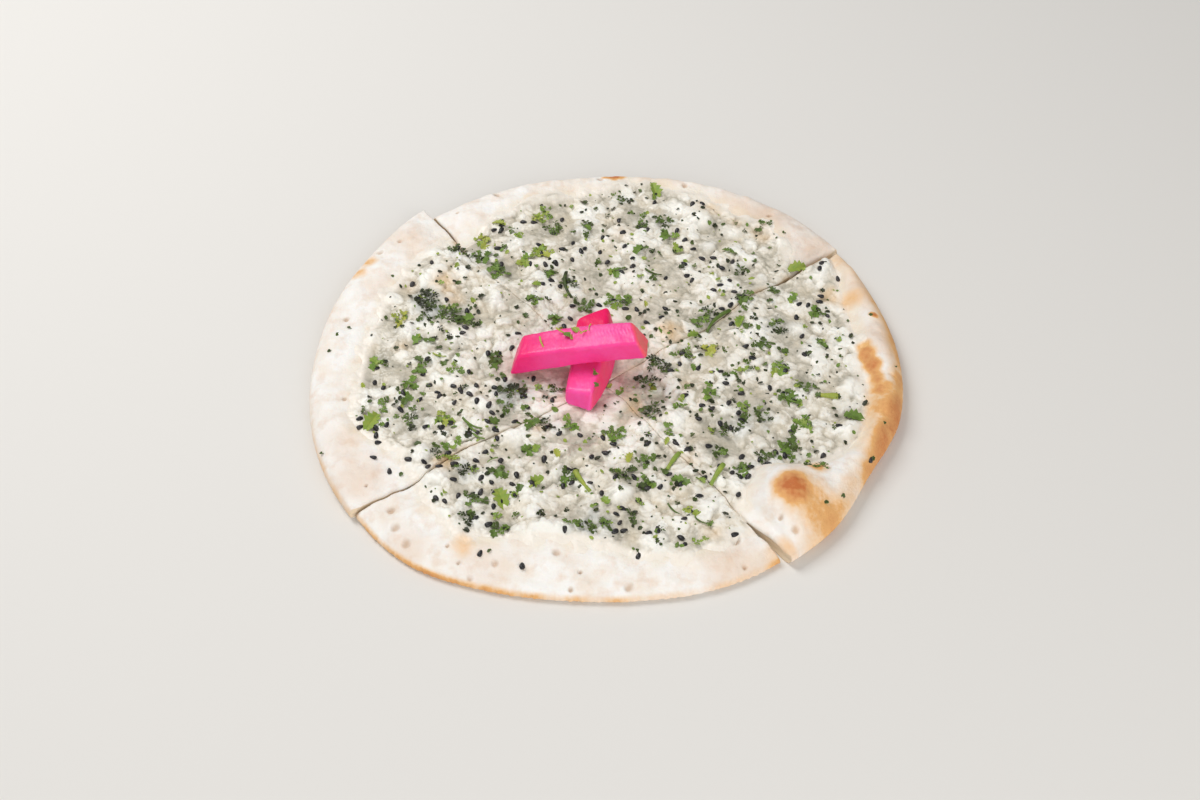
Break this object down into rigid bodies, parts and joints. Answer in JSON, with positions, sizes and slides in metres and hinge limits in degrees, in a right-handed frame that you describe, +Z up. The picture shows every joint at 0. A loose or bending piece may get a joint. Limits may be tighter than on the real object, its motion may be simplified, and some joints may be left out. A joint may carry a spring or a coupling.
{
  "type": "manakish",
  "caption": "Round flat bread cut into quarters, with a low uneven rim, a lumpy white cheese topping with seeds and herbs, and crossed sticks of pickled turnip on top.",
  "frame": {"origin": "middle of the whole bread's box, on its flat underside", "axes": "+Z up out of the topping, -Y towards the quarter with the widest bare rim, +X towards the puffed rim with the browned bubble"},
  "size_m": [0.214, 0.2056, 0.0286],
  "materials": {
    "baked_dough": "pale baked flatbread crust, dry and matte, browned on the blisters and along the edge",
    "white_cheese": "melted white cheese, lumpy and moist, flecked with black seeds and green parsley",
    "pickled_turnip": "wet bright pink pickled turnip, slightly translucent"
  },
  "bodies": {
    "root": {"dough_back": "baked_dough", "dough_left": "baked_dough", "dough_front": "baked_dough", "dough_right": "baked_dough", "cheese_back": "white_cheese", "cheese_left": "white_cheese", "cheese_front": "white_cheese", "cheese_right": "white_cheese", "pickle_under": "pickled_turnip", "pickle_top": "pickled_turnip"}
  },
  "joints": []
}
